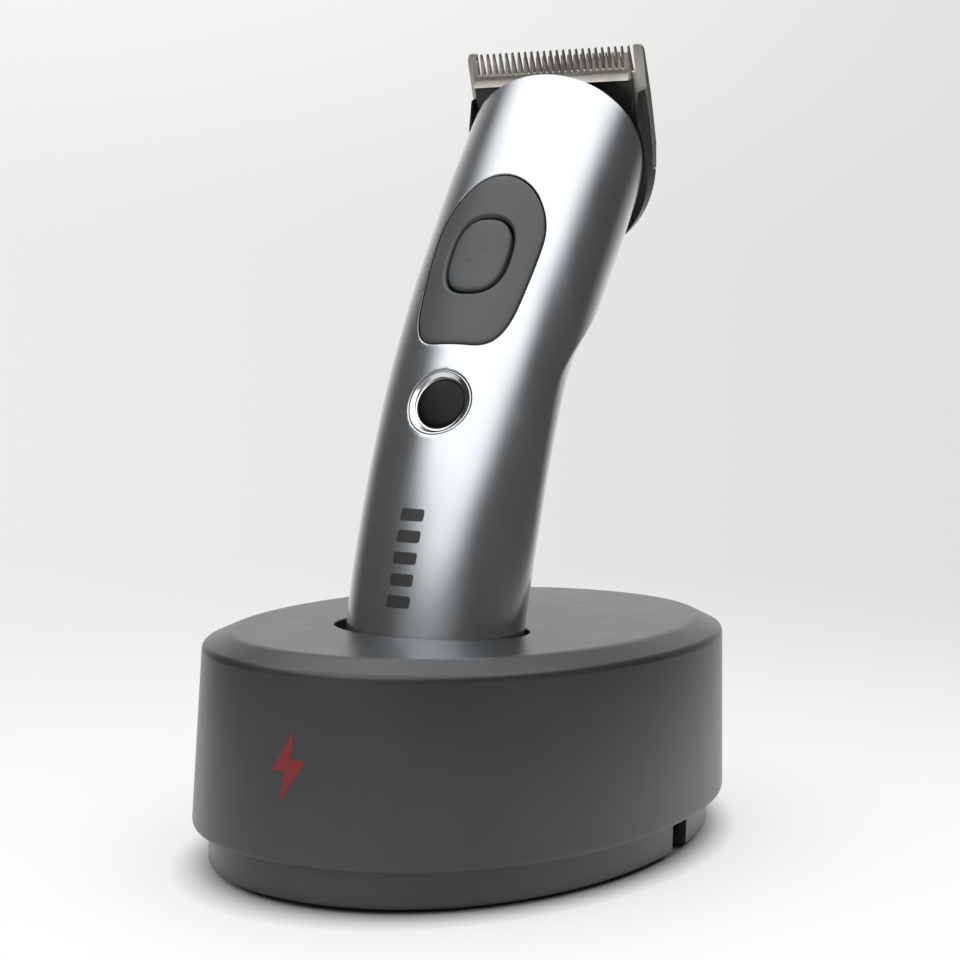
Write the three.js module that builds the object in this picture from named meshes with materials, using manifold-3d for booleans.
// Cordless hair clipper standing in its charging stand.
// Millimetres, +Z up. The origin lies on the table under the middle of the stand, -Y is the button side,
// and X = 0 is the plane of symmetry. The clipper is a bent tube that leans back (+Y) as it rises.
import * as THREE from 'three';
import { mergeVertices } from 'three/addons/utils/BufferGeometryUtils.js';
import Module from 'manifold-3d';

const wasm = await Module();
wasm.setup();

// ---------------------------------------------------------------- driving dimensions

const gap = 0.3;                        // clearance between neighbouring pieces

// stand
const standRoundness = 2.13;            // exponent of the oval plan, 2 would be an ellipse
const standTop = 50;                    // height of the flat top
const standRim = { x: 50.8, y: 77.7, z: 47.3 };      // outer edge of the chamfer
const standTopEdge = { x: 44.8, y: 71.7 };           // inner edge of the chamfer
const standFoot = { x: 52.15, y: 79.0, z: 9.25 };    // lower edge of the side wall
const standWall = 2.5;
const plinth = { x: 48.5, y: 75.4, bottom: 1.3, top: 15, floor: 3, wall: 2.4 };
const socketFloor = 26.5;               // upper face of the socket's floor
const socketFloorThickness = 2.2;
const socketClearance = 1.9;            // between the clipper's tail and the socket's wall
const notch = { y: 8, width: 9, top: 7.6, depth: 17 };      // way in for the charger's plug
const inletDepth = 10.7;
const plugRadius = 2.2;
const bossPlaces = [[38, 30], [-38, 30], [38, -30], [-38, -30]];
const bossRadius = 3.5;
const baseScrew = { head: 3.2, headHeight: 2.2, radius: 1.1, length: 11, bottom: 0.7 };
const footPlaces = [[24, 56], [-24, 56], [24, -56], [-24, -56]];
const footRadius = 6;
const footHeight = 2.7;
const ballast = { halfX: 24, front: 4, back: 60, top: 10 };
const chargingBoard = { halfX: 24, halfY: 15, bottom: 13, top: 14.6 };
const standoff = { spread: 20, radius: 3 };
const ringSteps = 48;                   // points round each ring of the stand

// charging contacts
const contactSpread = 6;                // each side of the middle
const contactGap = 0.1;                 // between a pin and what it touches
const pinRadius = 1.4;
const pinTail = { radius: 0.9, height: 1.3 };        // sits inside the spring
const pinFlange = { radius: 2.4, height: 1.2 };      // held under the socket's floor
const springRadius = 1.75;
const springWire = 0.25;
const springTurns = 6;
const padHalf = { x: 2.5, y: 3 };

// clipper body: each list runs up the tube as [height, value]
const tailEnd = 29;                     // lower edge of the two shells
const tailUnderside = 27;               // underside of the tail cap
const sectionCentre = smooth([
  [26, -22.6], [50, -20.6], [76, -14.0], [100, -4.7], [124, 8.4], [142, 20.2], [160, 32.6], [184, 49.5],
]);
const halfWidth = smooth([
  [26, 20.0], [50, 20.3], [76, 20.9], [100, 21.5], [130, 22.3], [160, 22.6], [184, 22.6],
]);
const frontDepth = smooth([
  [26, 16.0], [50, 16.5], [76, 16.5], [100, 17.0], [124, 18.7], [142, 20.2], [160, 21.2], [184, 21.2],
]);
const rearDepth = smooth([
  [26, 16.0], [50, 16.4], [70, 17.0], [95, 20.0], [110, 23.0], [138, 26.4], [184, 26.4],
]);
const contactY = sectionCentre(40);     // the socket and its contacts stand under the tail
const gripRear = 17.3;                  // rear depth of the grip below the crease
const shellWall = 1.8;
const seamAngle = 122;                  // where the two shells meet, in degrees from the front
const creaseTop = 127;                  // height of the finger crease at the back
const creaseDrop = 49;                  // how far the crease falls as it runs round to the front
const creasePower = 1.66;
const scoopStart = 45;                  // angle from the front where the finger scoop begins
const scoopBlend = 6;                   // length over which the scoop reaches its depth

// head: the mouth of the body is a slanting plane, and the blade set in front of it leans forward less
const mouthLean = THREE.MathUtils.degToRad(30);
const mouthTop = { y: 24.2, z: 176.8 };
const bladeLean = THREE.MathUtils.degToRad(20.8);
const bladeTip = { y: 31.6, z: 185.05 };             // comb tooth tips, on the skin side of the comb
const cutterRest = -0.8;                // the cutter has stopped a little left of the middle
const strokeHalf = 1.2;                 // cutter travel each way
const comb = { half: 23.4, bottom: -30, root: -6.6, thickness: 2.2, teeth: 24 };
const cutter = { half: 20.75, bottom: -19, root: -5.4, back: -2.5, front: -4.7, teeth: 23 };
const forkSlot = 3.8;                   // half the width between the fork's prongs
const prongWidth = 2.4;
const bladeScrewPlaces = [-15, 15];
const carrierHalf = 23.0;               // the carrier's rounded outline is half an ellipse
const carrierTopHalf = 22.5;
const carrierMiddle = -25.5;
const carrierDrop = 25.3;
const headPlateDrop = 22.4;             // from the top of the mouth to the middle of the head plate

// button side
const panelLean = THREE.MathUtils.degToRad(31.5);
const panelCentre = { y: -5.3, z: 131.9 };
const ringLean = THREE.MathUtils.degToRad(21);
const ringCentre = { y: -22.0, z: 99.7 };
const ringRadius = 7.7;
const lensRadius = 5.7;
const buttonSize = { x: 7.3, y: 9.8 };  // half width and half length
const buttonRise = 1;                   // from the middle of the panel up to the middle of the button
const panelThickness = 2.2;

// drive
const motorLean = THREE.MathUtils.degToRad(37);
const motorRadius = 11.5;
const motorLength = 26;
const pinReach = 11.5;                  // from the motor's face to the tip of the eccentric pin
const pinTip = { back: -8, up: -28.5 }; // in the blade's own frame
const cellRadius = 9;
const cellLength = 50;

// ---------------------------------------------------------------- shared helpers

const group = new THREE.Group();

// A smooth function through a few [height, value] points.
function smooth(points) {
  const curve = new THREE.CatmullRomCurve3(points.map(([z, value]) => new THREE.Vector3(z, value, 0)), false,
    'centripetal');
  const samples = curve.getPoints(160);
  return (z) => {
    const next = samples.findIndex((sample) => sample.x >= z);
    if (next <= 0) return next === 0 ? samples[0].y : samples[samples.length - 1].y;
    const low = samples[next - 1];
    const high = samples[next];
    return THREE.MathUtils.lerp(low.y, high.y, (z - low.x) / (high.x - low.x));
  };
}

function solidOf(geometry) {
  const bare = geometry.clone();
  bare.deleteAttribute('normal');
  bare.deleteAttribute('uv');
  const welded = mergeVertices(bare, 1e-4);
  return new wasm.Manifold(new wasm.Mesh({
    numProp: 3,
    vertProperties: new Float32Array(welded.attributes.position.array),
    triVerts: new Uint32Array(welded.index.array),
  }));
}

function geometryOf(solid) {
  const mesh = solid.getMesh();
  const geometry = new THREE.BufferGeometry();
  geometry.setAttribute('position', new THREE.BufferAttribute(new Float32Array(mesh.vertProperties), 3));
  geometry.setIndex(new THREE.BufferAttribute(new Uint32Array(mesh.triVerts), 1));
  geometry.computeVertexNormals();
  return geometry;
}

// Cuts and joins take geometries and give a geometry back.
function cut(body, ...tools) {
  return geometryOf(tools.reduce((left, tool) => left.subtract(solidOf(tool)), solidOf(body)));
}

function join(body, ...others) {
  return geometryOf(others.reduce((sum, other) => sum.add(solidOf(other)), solidOf(body)));
}

function common(body, tool) {
  return geometryOf(solidOf(body).intersect(solidOf(tool)));
}

function add(parent, name, geometry, material) {
  const mesh = new THREE.Mesh(geometry, material());
  mesh.name = name;
  parent.add(mesh);
  return mesh;
}

function box(x0, x1, y0, y1, z0, z1) {
  const geometry = new THREE.BoxGeometry(x1 - x0, y1 - y0, z1 - z0);
  return geometry.translate((x0 + x1) / 2, (y0 + y1) / 2, (z0 + z1) / 2);
}

// An upright cylinder from z0 to z1.
function post(x, y, radius, z0, z1, sides = 20) {
  const geometry = new THREE.CylinderGeometry(radius, radius, z1 - z0, sides);
  return geometry.rotateX(Math.PI / 2).translate(x, y, (z0 + z1) / 2);
}

// A turned piece about the Z axis, from [radius, height] points that start and end on the axis or close up.
function turned(points, sides = 24) {
  const profile = points.map(([radius, height]) => new THREE.Vector2(radius, height));
  return new THREE.LatheGeometry(profile, sides).rotateX(Math.PI / 2);
}

// Joins rings of equal length into one skin. A ring given as a single point closes the end there; where
// neither end is a point, the last ring joins the first.
function loft(rings) {
  const count = Math.max(...rings.map((ring) => ring.length));
  const positions = [];
  const starts = rings.map((ring) => {
    const start = positions.length / 3;
    ring.forEach((point) => positions.push(point.x, point.y, point.z));
    return start;
  });
  const faces = [];
  const closed = rings[0].length > 1;
  const bands = closed ? rings.length : rings.length - 1;
  for (let band = 0; band < bands; band += 1) {
    const next = (band + 1) % rings.length;
    for (let i = 0; i < count; i += 1) {
      const j = (i + 1) % count;
      const [a, b] = rings[band].length > 1 ? [starts[band] + i, starts[band] + j] : [starts[band], -1];
      const [c, d] = rings[next].length > 1 ? [starts[next] + i, starts[next] + j] : [starts[next], -1];
      if (b < 0) faces.push(a, d, c);
      else if (d < 0) faces.push(a, b, c);
      else faces.push(a, b, d, a, d, c);
    }
  }
  const geometry = new THREE.BufferGeometry();
  geometry.setAttribute('position', new THREE.Float32BufferAttribute(positions, 3));
  geometry.setIndex(faces);
  geometry.computeVertexNormals();
  return geometry;
}

// A curved plate between an outer and an inner grid of points.
function plateBetween(outer, inner) {
  const rows = outer.length;
  const columns = outer[0].length;
  const positions = [];
  [outer, inner].forEach((grid) => grid.forEach((row) => row.forEach((p) => positions.push(p.x, p.y, p.z))));
  const at = (layer, row, column) => (layer * rows + row) * columns + column;
  const faces = [];
  const quad = (a, b, c, d) => faces.push(a, b, c, a, c, d);
  for (let r = 0; r < rows - 1; r += 1) {
    for (let c = 0; c < columns - 1; c += 1) {
      quad(at(0, r, c), at(0, r, c + 1), at(0, r + 1, c + 1), at(0, r + 1, c));
      quad(at(1, r, c), at(1, r + 1, c), at(1, r + 1, c + 1), at(1, r, c + 1));
    }
    quad(at(0, r, 0), at(0, r + 1, 0), at(1, r + 1, 0), at(1, r, 0));
    quad(at(0, r + 1, columns - 1), at(0, r, columns - 1), at(1, r, columns - 1), at(1, r + 1, columns - 1));
  }
  for (let c = 0; c < columns - 1; c += 1) {
    quad(at(0, 0, c + 1), at(0, 0, c), at(1, 0, c), at(1, 0, c + 1));
    quad(at(0, rows - 1, c), at(0, rows - 1, c + 1), at(1, rows - 1, c + 1), at(1, rows - 1, c));
  }
  const geometry = new THREE.BufferGeometry();
  geometry.setAttribute('position', new THREE.Float32BufferAttribute(positions, 3));
  geometry.setIndex(faces);
  geometry.computeVertexNormals();
  return geometry;
}

// A frame on the body's front: x across, y up along the surface, z straight out of it.
function frontFrame(centre, lean) {
  const matrix = new THREE.Matrix4().makeBasis(
    new THREE.Vector3(1, 0, 0),
    new THREE.Vector3(0, Math.sin(lean), Math.cos(lean)),
    new THREE.Vector3(0, -Math.cos(lean), Math.sin(lean)),
  );
  return matrix.setPosition(0, centre.y, centre.z);
}

// An outline pushed through the body's front surface, from depthIn below it to depthOut above it.
function punch(shape, frame, depthIn, depthOut, curveSegments = 8) {
  const options = { depth: depthIn + depthOut, bevelEnabled: false, curveSegments };
  return new THREE.ExtrudeGeometry(shape, options).translate(0, 0, -depthIn).applyMatrix4(frame);
}

// ---------------------------------------------------------------- materials

// A finish gives a new material each time it is called, so that every mesh has its own.
const finish = (color, roughness, metalness) => () => (
  new THREE.MeshStandardMaterial({ color, roughness, metalness }));
const silverLacquer = finish(0xb9bdc2, 0.32, 0.75);
const anthracite = finish(0x43474a, 0.5, 0);
const darkPlastic = finish(0x2b2d2f, 0.55, 0);
const softPanel = finish(0x55575a, 0.7, 0);
const blackRubber = finish(0x161616, 0.85, 0);
const chromed = finish(0xd8dade, 0.12, 1);
const smokedGlass = finish(0x15191a, 0.08, 0);
const bladeSteel = finish(0x7b756c, 0.38, 0.9);
const plainSteel = finish(0xa9abad, 0.35, 1);
const brassContact = finish(0xd2b24c, 0.3, 1);
const boardGreen = finish(0x1f5a3a, 0.6, 0);
const cellWrap = finish(0x2f6ea8, 0.45, 0);

// ---------------------------------------------------------------- body surface

// Depth of the finger scoop at a height and angle. It is nothing above the crease.
function creaseHeight(angle) {
  const share = (1 + Math.cos(THREE.MathUtils.degToRad(angle))) / 2;
  return creaseTop - creaseDrop * share ** creasePower;
}

function scoopDepth(z, angle) {
  const below = creaseHeight(angle) - z;
  if (below <= 0) return 0;
  const fromFront = Math.abs(((angle + 540) % 360) - 180);
  const round = THREE.MathUtils.smoothstep(fromFront, scoopStart, 180);
  return (rearDepth(z) - gripRear) * round * (1 - Math.exp(-below / scoopBlend));
}

// A point of the body's skin, moved inwards by inset. The angle is 0 at the front and 90 at +X.
function bodyPoint(z, angle, inset = 0) {
  const turn = THREE.MathUtils.degToRad(angle);
  const sink = inset + scoopDepth(z, angle);
  const depth = Math.cos(turn) > 0 ? frontDepth(z) : rearDepth(z);
  const x = (halfWidth(z) - sink) * Math.sin(turn);
  const y = sectionCentre(z) - (depth - sink) * Math.cos(turn);
  return new THREE.Vector3(x, y, z);
}

// Where the plane of the mouth stands at a height.
function mouthY(z) {
  return mouthTop.y + (mouthTop.z - z) * Math.tan(mouthLean);
}

// Height at which a line of the skin meets the mouth.
function mouthHeight(angle, inset) {
  let low = 120;
  let high = 186;
  for (let step = 0; step < 40; step += 1) {
    const middle = (low + high) / 2;
    if (bodyPoint(middle, angle, inset).y < mouthY(middle)) low = middle;
    else high = middle;
  }
  return low;
}

// Rows of points on the skin between two angles. Rows gather on the crease so that it stays sharp.
function skinGrid(fromAngle, toAngle, columns, inset, rowsBelow, rowsAbove) {
  const grid = [];
  for (let row = 0; row <= rowsBelow + rowsAbove; row += 1) {
    const line = [];
    for (let column = 0; column <= columns; column += 1) {
      const angle = THREE.MathUtils.lerp(fromAngle, toAngle, column / columns);
      const crease = creaseHeight(angle);
      const top = mouthHeight(angle, inset);
      const z = row <= rowsBelow
        ? THREE.MathUtils.lerp(tailEnd, crease, row / rowsBelow)
        : THREE.MathUtils.lerp(crease, top, (row - rowsBelow) / rowsAbove);
      line.push(bodyPoint(z, angle, inset));
    }
    grid.push(line);
  }
  return grid;
}

// ---------------------------------------------------------------- stand

function ovalRing(halfX, halfY, z, count = ringSteps) {
  const ring = [];
  for (let i = 0; i < count; i += 1) {
    const turn = (i / count) * 2 * Math.PI;
    const power = 2 / standRoundness;
    ring.push(new THREE.Vector3(
      halfX * Math.sign(Math.cos(turn)) * Math.abs(Math.cos(turn)) ** power,
      halfY * Math.sign(Math.sin(turn)) * Math.abs(Math.sin(turn)) ** power,
      z,
    ));
  }
  return ring;
}

// The socket's wall, offset outwards by grow from the clipper's tail with its clearance.
function socketRing(z, grow, count = ringSteps) {
  const ring = [];
  const reach = socketClearance + grow;
  for (let i = 0; i < count; i += 1) {
    const turn = (i / count) * 2 * Math.PI;
    ring.push(new THREE.Vector3(
      (halfWidth(standTop) + reach) * Math.cos(turn),
      contactY + (frontDepth(standTop) + reach + 0.8) * Math.sin(turn),
      z,
    ));
  }
  return ring;
}

function buildStandHousing() {
  const centre = new THREE.Vector3(0, contactY, socketFloor);
  const underFloor = socketFloor - socketFloorThickness;
  const underTop = standTop - standWall;
  const skin = loft([
    [centre],
    socketRing(socketFloor, 0),
    socketRing(standTop - 1, 0),
    socketRing(standTop, 0.7),
    ovalRing(standTopEdge.x, standTopEdge.y, standTop),
    ovalRing(standRim.x, standRim.y, standRim.z),
    ovalRing(standFoot.x, standFoot.y, standFoot.z),
    ovalRing(standFoot.x - standWall, standFoot.y - standWall, standFoot.z),
    ovalRing(standRim.x - standWall, standRim.y - standWall, underTop),
    socketRing(underTop, 2),
    socketRing(underFloor, 2),
    [new THREE.Vector3(0, contactY, underFloor)],
  ].reverse());
  const bossFoot = plinth.bottom + plinth.floor + gap;
  const bosses = bossPlaces.map(([x, y]) => post(x, y, bossRadius, bossFoot, underTop + 1, 12));
  const pilots = bossPlaces.map(([x, y]) => post(x, y, baseScrew.radius + 0.2, 0, 18, 8));
  const pinHoles = [-1, 1].map((side) => (
    post(side * contactSpread, contactY, pinRadius + 0.5, underFloor - 1, socketFloor + 1, 12)));
  return cut(join(skin, ...bosses), ...pilots, ...pinHoles);
}

function buildStandBase() {
  const { x, y, wall, bottom, top, floor } = plinth;
  const tray = loft([
    [new THREE.Vector3(0, 0, bottom + floor)],
    ovalRing(x - wall, y - wall, bottom + floor),
    ovalRing(x - wall, y - wall, top),
    ovalRing(x, y, top),
    ovalRing(x, y, bottom),
    [new THREE.Vector3(0, 0, bottom)],
  ].reverse());
  const boardSeat = chargingBoard.bottom - gap;
  const standoffs = [-1, 1].map((side) => (
    post(side * standoff.spread, contactY, standoff.radius, bottom + 1, boardSeat, 12)));
  const footPockets = footPlaces.map(([fx, fy]) => post(fx, fy, footRadius + gap, 0, footHeight + gap, 18));
  const floorTop = bottom + floor;
  const screwHoles = bossPlaces.map(([sx, sy]) => post(sx, sy, baseScrew.radius + 0.7, 0, floorTop + 3, 10));
  const pocketTop = baseScrew.bottom + baseScrew.headHeight;
  const headPockets = bossPlaces.map(([sx, sy]) => post(sx, sy, baseScrew.head + 0.4, 0, pocketTop, 12));
  const sideways = notch.width / 2;
  const plugWay = box(x - notch.depth, x + 6, notch.y - sideways, notch.y + sideways, 0, notch.top);
  return cut(join(tray, ...standoffs), ...footPockets, ...screwHoles, ...headPockets, plugWay);
}

// A screw with a hexagon socket, standing on its head.
function buildScrew({ head, headHeight, radius, length }) {
  const socket = post(0, 0, head * 0.4, -0.1, headHeight * 0.5, 6);
  const profile = [
    [0, 0], [head * 0.85, 0], [head, headHeight * 0.4], [head, headHeight], [radius, headHeight],
    [radius, length - radius], [0, length],
  ];
  return cut(outward(turned(profile, 12)), socket);
}

// Turns a closed skin the right way out.
function outward(geometry) {
  const solid = solidOf(geometry);
  if (solid.volume() > 0) return geometryOf(solid);
  const flipped = geometry.clone();
  const index = flipped.index.array;
  for (let i = 0; i < index.length; i += 3) {
    [index[i], index[i + 1]] = [index[i + 1], index[i]];
  }
  return geometryOf(solidOf(flipped));
}

function buildStand() {
  add(group, 'stand_housing', outward(buildStandHousing()), anthracite);
  add(group, 'stand_base', outward(buildStandBase()), anthracite);
  footPlaces.forEach(([x, y], i) => {
    const foot = turned([
      [0, 0], [footRadius - 0.5, 0], [footRadius, 0.5], [footRadius, footHeight], [0, footHeight],
    ], 18);
    add(group, `stand_foot_${i + 1}`, outward(foot), blackRubber).position.set(x, y, 0);
  });
  bossPlaces.forEach(([x, y], i) => {
    add(group, `base_screw_${i + 1}`, buildScrew(baseScrew), plainSteel).position.set(x, y, baseScrew.bottom);
  });
  const floorTop = plinth.bottom + plinth.floor + gap;
  const weight = box(-ballast.halfX, ballast.halfX, ballast.front, ballast.back, floorTop, ballast.top);
  add(group, 'ballast_weight', weight, plainSteel);
  const { halfX, halfY, bottom, top } = chargingBoard;
  const boardHoles = [-1, 1].map((side) => (
    post(side * standoff.spread, contactY, 1.1, bottom - 1, top + 1, 10)));
  const board = cut(box(-halfX, halfX, contactY - halfY, contactY + halfY, bottom, top), ...boardHoles);
  add(group, 'charging_board', board, boardGreen);
  add(group, 'power_inlet', buildInlet(), darkPlastic);
  const springBottom = top + gap;
  const flangeTop = socketFloor - socketFloorThickness - contactGap;
  const flangeUnder = flangeTop - pinFlange.height;
  const pinTop = tailUnderside;
  const springHeight = flangeUnder - contactGap - springBottom;
  [['left', -1], ['right', 1]].forEach(([name, side]) => {
    const x = side * contactSpread;
    const pin = outward(turned([
      [0, flangeUnder - pinTail.height],
      [pinTail.radius, flangeUnder - pinTail.height],
      [pinTail.radius, flangeUnder],
      [pinFlange.radius, flangeUnder],
      [pinFlange.radius, flangeTop],
      [pinRadius, flangeTop],
      [pinRadius, pinTop - 0.9],
      [pinRadius / 2, pinTop],
      [0, pinTop],
    ], 14));
    add(group, `contact_pin_${name}`, pin, brassContact).position.set(x, contactY, 0);
    const spring = buildSpring(springHeight);
    add(group, `contact_spring_${name}`, spring, plainSteel).position.set(x, contactY, springBottom);
  });
}

// The socket for the charger's plug, a block with a round hole that opens towards +X.
function buildInlet() {
  const back = plinth.x - notch.depth + gap;
  const halfBlock = notch.width / 2 - gap;
  const middle = (plinth.bottom + notch.top) / 2;
  const block = box(back, back + inletDepth, notch.y - halfBlock, notch.y + halfBlock, plinth.bottom + gap,
    notch.top - gap);
  const hole = new THREE.CylinderGeometry(plugRadius, plugRadius, inletDepth, 14);
  return cut(block, hole.rotateZ(Math.PI / 2).translate(back + inletDepth - 1.5, notch.y, middle));
}

// A compression spring standing on z = 0.
function buildSpring(height) {
  class Helix extends THREE.Curve {
    getPoint(t, target = new THREE.Vector3()) {
      const turn = t * springTurns * 2 * Math.PI;
      const z = springWire + t * (height - 2 * springWire);
      return target.set(springRadius * Math.cos(turn), springRadius * Math.sin(turn), z);
    }
  }
  const corners = 4;
  const wire = Array.from({ length: corners }, (_, i) => {
    const turn = (i / corners) * 2 * Math.PI;
    return new THREE.Vector2(springWire * Math.cos(turn), springWire * Math.sin(turn));
  });
  const options = { steps: springTurns * 10, extrudePath: new Helix() };
  return outward(new THREE.ExtrudeGeometry(new THREE.Shape(wire), options));
}

// ---------------------------------------------------------------- clipper body

function panelShape(shrink) {
  const bottom = -22.2 + shrink;
  const flat = 4;
  const lower = 12.2 - shrink;
  const upper = 13.7 - shrink;
  const shoulder = 6;
  const shape = new THREE.Shape();
  shape.moveTo(-flat, bottom);
  shape.lineTo(flat, bottom);
  shape.bezierCurveTo(lower - 2.6, bottom, lower - 1, bottom + 4, lower, bottom + 9.5);
  shape.bezierCurveTo(lower + 0.8, bottom + 15, upper, shoulder - 5, upper, shoulder);
  shape.absellipse(0, shoulder, upper, 17.2 - shrink, 0, Math.PI, false);
  shape.bezierCurveTo(-upper, shoulder - 5, -lower - 0.8, bottom + 15, -lower, bottom + 9.5);
  shape.bezierCurveTo(-lower + 1, bottom + 4, -lower + 2.6, bottom, -flat, bottom);
  return shape;
}

// A squared circle.
function buttonShape(grow) {
  const points = [];
  const count = 32;
  const power = 2 / 2.6;
  for (let i = 0; i < count; i += 1) {
    const turn = (i / count) * 2 * Math.PI;
    points.push(new THREE.Vector2(
      (buttonSize.x + grow) * Math.sign(Math.cos(turn)) * Math.abs(Math.cos(turn)) ** power,
      (buttonSize.y + grow) * Math.sign(Math.sin(turn)) * Math.abs(Math.sin(turn)) ** power + buttonRise,
    ));
  }
  return new THREE.Shape(points);
}

function discShape(radius) {
  const shape = new THREE.Shape();
  shape.absarc(0, 0, radius, 0, 2 * Math.PI);
  return shape;
}

// A patch of the front wall between two heights, for the pieces that lie flush in it.
function frontPatch(low, high, insetOut, insetIn) {
  const rows = 8;
  const columns = 12;
  const spread = 56;
  const grids = [insetOut, insetIn].map((inset) => {
    const grid = [];
    for (let row = 0; row <= rows; row += 1) {
      const z = THREE.MathUtils.lerp(low, high, row / rows);
      const line = [];
      for (let column = 0; column <= columns; column += 1) {
        line.push(bodyPoint(z, (column / columns - 0.5) * 2 * spread, inset));
      }
      grid.push(line);
    }
    return grid;
  });
  return plateBetween(grids[0], grids[1]);
}

function buildShells() {
  const panelFrame = frontFrame(panelCentre, panelLean);
  const ringFrame = frontFrame(ringCentre, ringLean);
  const front = plateBetween(
    skinGrid(-seamAngle, seamAngle, 26, 0, 8, 7),
    skinGrid(-seamAngle, seamAngle, 26, shellWall, 8, 7),
  );
  const openings = [
    punch(panelShape(0), panelFrame, 9, 6, 6),
    punch(discShape(ringRadius), ringFrame, 6, 5, 12),
  ];
  add(group, 'front_shell', cut(outward(front), ...openings), silverLacquer);
  const rearFrom = seamAngle + 0.8;
  const rear = plateBetween(
    skinGrid(rearFrom, 360 - rearFrom, 12, 0, 8, 6),
    skinGrid(rearFrom, 360 - rearFrom, 12, shellWall, 8, 6),
  );
  add(group, 'rear_shell', outward(rear), silverLacquer);

  const panelSkin = outward(frontPatch(96, 166, 0, panelThickness));
  const panelBlank = common(panelSkin, punch(panelShape(gap), panelFrame, 9, 6, 6));
  add(group, 'button_panel', cut(panelBlank, punch(buttonShape(gap), panelFrame, 9, 6)), softPanel);
  const cap = common(outward(frontPatch(110, 154, 0.1, 2)), punch(buttonShape(0), panelFrame, 9, 6));
  const stem = punch(discShape(2.2), panelFrame, 2.5, -1);
  add(group, 'power_button', join(cap, stem), softPanel);

  const ringGroup = new THREE.Group();
  ringGroup.applyMatrix4(ringFrame);
  group.add(ringGroup);
  const outerRadius = ringRadius - gap;
  const innerRadius = lensRadius + gap;
  const ring = turned([
    [innerRadius, -2.6], [outerRadius, -2.6], [outerRadius, -0.9], [outerRadius - 0.6, -0.6],
    [innerRadius, -1.3], [innerRadius, -2.6],
  ], 28);
  add(ringGroup, 'indicator_ring', outward(ring), chromed);
  const lens = turned([[0, -3.2], [lensRadius, -3.2], [lensRadius, -1.6], [0, -1.4]], 28);
  add(ringGroup, 'indicator_lens', outward(lens), smokedGlass);
  buildTailCap();
}

// The cap closes the shells' lower end and carries the two charging contacts in pockets.
function buildTailCap() {
  const columns = 28;
  const pocketTop = tailEnd - 0.4;
  const spigotTop = tailEnd + 4;
  const tailRing = (z, inset) => (
    Array.from({ length: columns }, (_, i) => bodyPoint(z, (i / columns) * 360, inset)));
  const middle = (z) => [new THREE.Vector3(0, sectionCentre(z), z)];
  const cap = loft([
    middle(tailUnderside),
    tailRing(tailUnderside, 3.2),
    tailRing(tailUnderside + 0.4, 1.6),
    tailRing(tailUnderside + 1.2, 0.5),
    tailRing(tailEnd - gap, 0),
    tailRing(tailEnd - gap, shellWall + gap),
    tailRing(spigotTop, shellWall + gap),
    middle(spigotTop),
  ]);
  const pad = (side, grow, bottom, top) => box(
    side * contactSpread - padHalf.x - grow, side * contactSpread + padHalf.x + grow,
    contactY - padHalf.y - grow, contactY + padHalf.y + grow, bottom, top);
  const pockets = [-1, 1].map((side) => pad(side, gap, tailUnderside - 1, pocketTop));
  add(group, 'tail_cap', cut(outward(cap), ...pockets), darkPlastic);
  [['left', -1], ['right', 1]].forEach(([name, side]) => {
    add(group, `charge_contact_${name}`, pad(side, 0, tailUnderside + contactGap, pocketTop - gap), brassContact);
  });
}

// ---------------------------------------------------------------- inside the clipper

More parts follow.
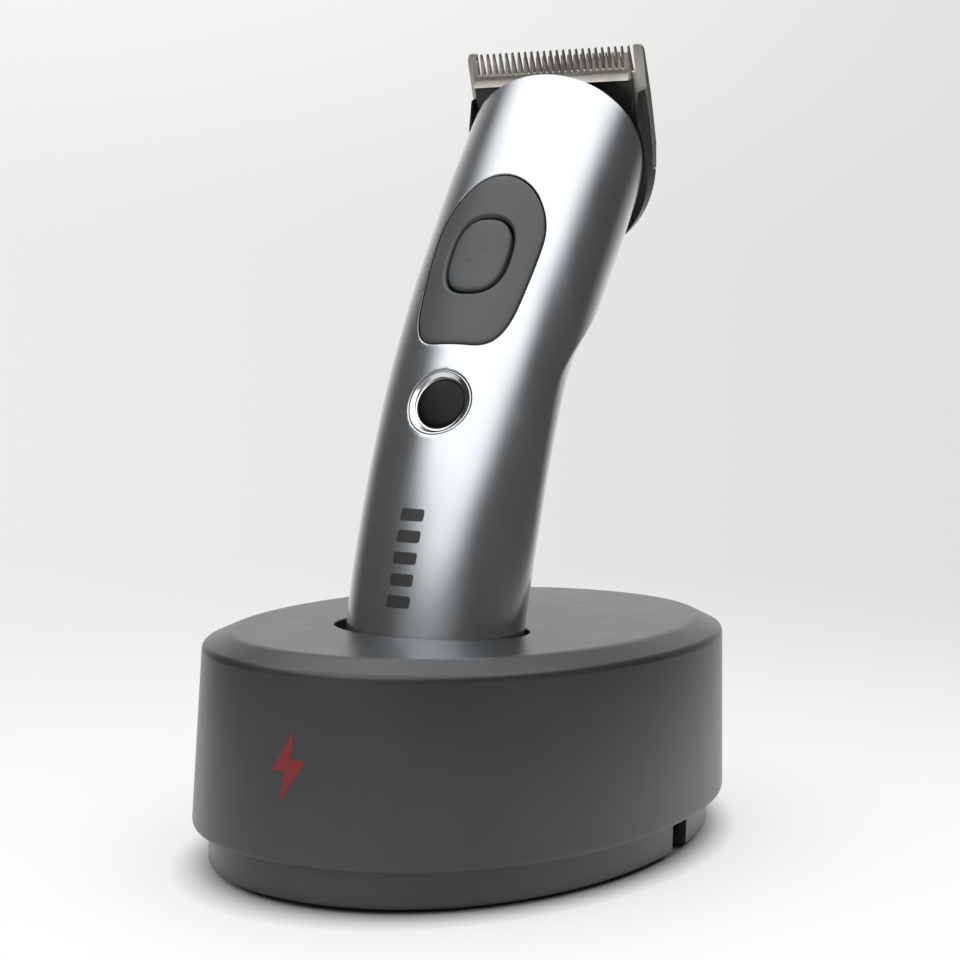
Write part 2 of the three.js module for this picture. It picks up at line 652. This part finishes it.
function buildInside() {
  const blade = bladeFrame();
  const tip = new THREE.Vector3(0, pinTip.back, pinTip.up).applyMatrix4(blade);
  const drive = new THREE.Group();
  drive.position.copy(tip);
  drive.rotation.x = -motorLean;
  group.add(drive);
  const face = -pinReach;
  const canEnd = face - motorLength;
  const noseRadius = 3.2;
  const boreRadius = 1.5;
  const shaftDepth = 8;
  const can = turned([
    [0, canEnd], [motorRadius - 1, canEnd], [motorRadius, canEnd + 1], [motorRadius, face - 1],
    [motorRadius - 1, face], [noseRadius, face], [noseRadius, face + 1.4], [boreRadius, face + 1.4],
    [boreRadius, face - shaftDepth], [0, face - shaftDepth],
  ], 24);
  add(drive, 'motor', outward(can), plainSteel);
  const shaft = post(0, 0, 1.0, face - shaftDepth + 1, face + 3, 10);
  const hub = post(0, 0, 4, face + 2, face + 5, 18);
  const pinBack = Math.sqrt(strokeHalf ** 2 - cutterRest ** 2);
  const pin = post(cutterRest, pinBack, 1.0, face + 4, 0, 10);
  add(drive, 'drive_eccentric', join(hub, shaft, pin), plainSteel);
  const bracket = cut(
    post(0, 0, motorRadius + 1.2, face + gap, face + 1.9, 24),
    post(0, 0, noseRadius + 1.4, face - 1, face + 4, 16),
  );
  add(drive, 'motor_bracket', bracket, darkPlastic);

  const cell = new THREE.Group();
  cell.position.set(0, -12.4, 71);
  cell.rotation.x = -THREE.MathUtils.degToRad(20);
  group.add(cell);
  const half = cellLength / 2;
  const terminal = 2.6;
  const battery = turned([
    [0, -half], [cellRadius - 0.6, -half], [cellRadius, -half + 0.6], [cellRadius, half - 0.6],
    [cellRadius - 0.6, half], [terminal, half], [terminal, half + 1], [0, half + 1],
  ], 20);
  add(cell, 'battery_cell', outward(battery), cellWrap);
  const cradle = cut(
    post(0, 0, cellRadius + 1.7, -half - 3, half + 3, 20),
    post(0, 0, cellRadius + gap, -half - gap, half + 1 + gap, 20),
    box(-20, 20, -20, -2, -40, 40),
  );
  add(cell, 'battery_cradle', cradle, darkPlastic);

  const boardFrame = new THREE.Group();
  boardFrame.applyMatrix4(frontFrame({ y: -8.6, z: 113 }, THREE.MathUtils.degToRad(27)));
  group.add(boardFrame);
  const boardHalf = 0.7;
  const seat = boardHalf + gap;
  add(boardFrame, 'control_board', box(-8, 8, -27, 25, -boardHalf, boardHalf), boardGreen);
  const lamp = join(box(-1.6, 1.6, -16, -13, seat, 1.8), box(-0.9, 0.9, -15.4, -13.6, 1.7, 2.4));
  add(boardFrame, 'indicator_led', lamp, darkPlastic);
  const pushSwitch = join(box(-3, 3, 17, 23, seat, 1.9), post(0, 20, 1.4, 1.8, 2.2, 10));
  add(boardFrame, 'button_switch', pushSwitch, darkPlastic);
}

// ---------------------------------------------------------------- blade set

// The blade's own frame: X across, Y out of the skin side, Z up towards the tooth tips.
function bladeFrame() {
  return new THREE.Matrix4().makeRotationX(bladeLean).setPosition(0, bladeTip.y, bladeTip.z);
}

// A flat outline drawn in X and Z, standing between two depths.
function flatPiece(shape, back, front, curveSegments = 8) {
  const options = { depth: back - front, bevelEnabled: false, curveSegments };
  return new THREE.ExtrudeGeometry(shape, options).rotateX(Math.PI / 2).translate(0, back, 0);
}

// A plate with a row of pointed teeth along its top.
function toothedShape({ half, bottom, root, tip, endWidth, endTip, teeth, share }) {
  const shape = new THREE.Shape();
  shape.moveTo(-half, bottom);
  shape.lineTo(half, bottom);
  shape.lineTo(half, endTip - 2);
  shape.lineTo(half - 1, endTip);
  const inner = half - endWidth;
  shape.lineTo(inner, endTip);
  const pitch = (2 * inner) / (teeth + 1 - (1 - share));
  const slot = pitch * (1 - share);
  for (let i = 0; i < teeth; i += 1) {
    const right = inner - slot - i * pitch;
    const left = right - pitch * share;
    shape.lineTo(right + slot, root);
    shape.lineTo(right, root);
    shape.lineTo(right - pitch * 0.12, tip);
    shape.lineTo(left + pitch * 0.12, tip);
    shape.lineTo(left, root);
  }
  shape.lineTo(-inner, root);
  shape.lineTo(-inner, endTip);
  shape.lineTo(-half + 1, endTip);
  shape.lineTo(-half, endTip - 2);
  shape.closePath();
  return shape;
}

// A wedge across the whole width, given by three or four corners in depth and height.
function wedge(corners) {
  const profile = new THREE.Shape(corners.map(([y, z]) => new THREE.Vector2(y, z)));
  const geometry = new THREE.ExtrudeGeometry(profile, { depth: 60, bevelEnabled: false });
  return geometry.applyMatrix4(new THREE.Matrix4().makeBasis(
    new THREE.Vector3(0, 1, 0), new THREE.Vector3(0, 0, 1), new THREE.Vector3(1, 0, 0))).translate(-30, 0, 0);
}

// The mouth's own frame: the same way round, with its origin at the top of the mouth.
function mouthFrame() {
  return new THREE.Matrix4().makeRotationX(mouthLean).setPosition(0, mouthTop.y, mouthTop.z);
}

function sideBox(side, x0, x1, y0, y1, z0, z1) {
  return box(Math.min(side * x0, side * x1), Math.max(side * x0, side * x1), y0, y1, z0, z1);
}

function buildBladeSet() {
  const set = new THREE.Group();
  set.applyMatrix4(bladeFrame());
  group.add(set);

  const combShape = toothedShape({ ...comb, tip: -0.2, endWidth: 2.8, endTip: 0, share: 0.5 });
  const combPlate = flatPiece(combShape, 0, -comb.thickness);
  const skinBevel = wedge([[1, -12], [0, -12], [-1.3, 1], [1, 1]]);
  const slots = bladeScrewPlaces.map((x) => box(x - 1.5, x + 1.5, -4, 2, -28.4, -23.2));
  add(set, 'comb_blade', cut(combPlate, skinBevel, ...slots), bladeSteel);

  const cutterShape = toothedShape({ ...cutter, tip: -1.3, endWidth: 1.2, endTip: -1.6, share: 0.52 });
  const cutterPlate = flatPiece(cutterShape, cutter.back, cutter.front);
  const frontBevel = wedge([[-6, -7.0], [-4.7, -7.0], [-4.1, -5.6], [-3.1, 0], [-6, 0]]);
  const cutterGroup = new THREE.Group();
  cutterGroup.position.x = cutterRest;
  set.add(cutterGroup);
  add(cutterGroup, 'cutter_blade', cut(cutterPlate, frontBevel), bladeSteel);
  const bridgeHalf = 7.5;
  const bridgeBack = cutter.front - gap;
  const bridge = box(-bridgeHalf, bridgeHalf, -7.6, bridgeBack, cutter.bottom, -11.5);
  const prongs = [-1, 1].map((side) => sideBox(side, forkSlot, forkSlot + prongWidth, -11.5, -6, -33, -15));
  add(cutterGroup, 'drive_fork', join(bridge, ...prongs), darkPlastic);

  add(set, 'blade_carrier', buildCarrier(), darkPlastic);
  bladeScrewPlaces.forEach((x, i) => {
    const screw = outward(turned([[0, 0], [2.3, 0], [2.3, 0.9], [0.8, 0.9], [0.8, 5.8], [0, 5.8]], 12));
    add(set, `blade_screw_${i + 1}`, screw.rotateX(Math.PI / 2).translate(x, 1.2, -25.8), plainSteel);
  });
  const leaf = { half: 1.5, back: cutter.front - gap, front: cutter.front - 0.7, bottom: -24.5, top: -13 };
  [['left', -15], ['right', 15]].forEach(([name, x]) => {
    const spring = box(x - leaf.half, x + leaf.half, leaf.front, leaf.back, leaf.bottom, leaf.top);
    add(set, `cutter_spring_${name}`, spring, plainSteel);
  });
  const knob = join(box(-8.5, 0.5, -1.9, -0.2, -45.6, -40), box(-6, -2, -0.4, 1.1, -45, -40.6));
  add(set, 'length_slider', knob, darkPlastic);

  const mouth = new THREE.Shape();
  mouth.absellipse(0, -headPlateDrop, 18.7, 17.4, 0, 2 * Math.PI);
  const plate = flatPiece(mouth, -1.6, -3.6, 16);
  const forkWindow = box(-9.2, 9.2, -8, 4, -31.6, -8.4);
  const tongueWindow = box(-5.8, 5.8, -8, 4, -38, -33.6);
  const head = new THREE.Group();
  head.applyMatrix4(mouthFrame());
  group.add(head);
  add(head, 'head_plate', cut(plate, forkWindow, tongueWindow), darkPlastic);
}

// The carrier closes the mouth behind the comb. Its front follows the slant of the mouth.
function buildCarrier() {
  const round = new THREE.Shape();
  round.absellipse(0, carrierMiddle, carrierHalf, carrierDrop, Math.PI, 2 * Math.PI, false);
  round.lineTo(carrierHalf, -18);
  round.lineTo(carrierTopHalf, -10.8);
  round.lineTo(-carrierTopHalf, -10.8);
  round.lineTo(-carrierHalf, -18);
  round.closePath();
  const block = flatPiece(round, 0, -14, 12);
  const beyondMouth = wedge([[0.4, -70], [0.4, 20], [-30, 20], [-30, -70]])
    .applyMatrix4(mouthFrame()).applyMatrix4(bladeFrame().invert());
  const combRoom = box(-30, 30, -2.5, 3, -30.3, 10);
  const slantedBrow = wedge([[-4.6, -10], [-9.5, -23], [-20, -23], [-20, 10], [-4.6, 10]]);
  const cutterRoom = box(-22.1, 22.1, -16, -2, -20, 10);
  const forkRoom = box(-8.9, 8.9, -16, -4.9, -37.5, -10);
  const inner = new THREE.Shape();
  inner.absellipse(0, carrierMiddle, carrierHalf - 2.4, carrierDrop - 2.4, 0, 2 * Math.PI);
  const hollow = flatPiece(inner, -4.7, -16, 10);
  const sliderPocket = box(-9, 9, -2.2, 2, -46, -39.6);
  const screwHoles = bladeScrewPlaces.map((x) => box(x - 1, x + 1, -6, 0, -26.8, -24.8));
  const tongue = box(-5, 5, -7.6, -3, -42, -40);
  const shell = cut(block, beyondMouth, combRoom, slantedBrow, cutterRoom, forkRoom, hollow, sliderPocket,
    ...screwHoles);
  return join(shell, tongue);
}

buildStand();
buildShells();
buildInside();
buildBladeSet();

export default group;
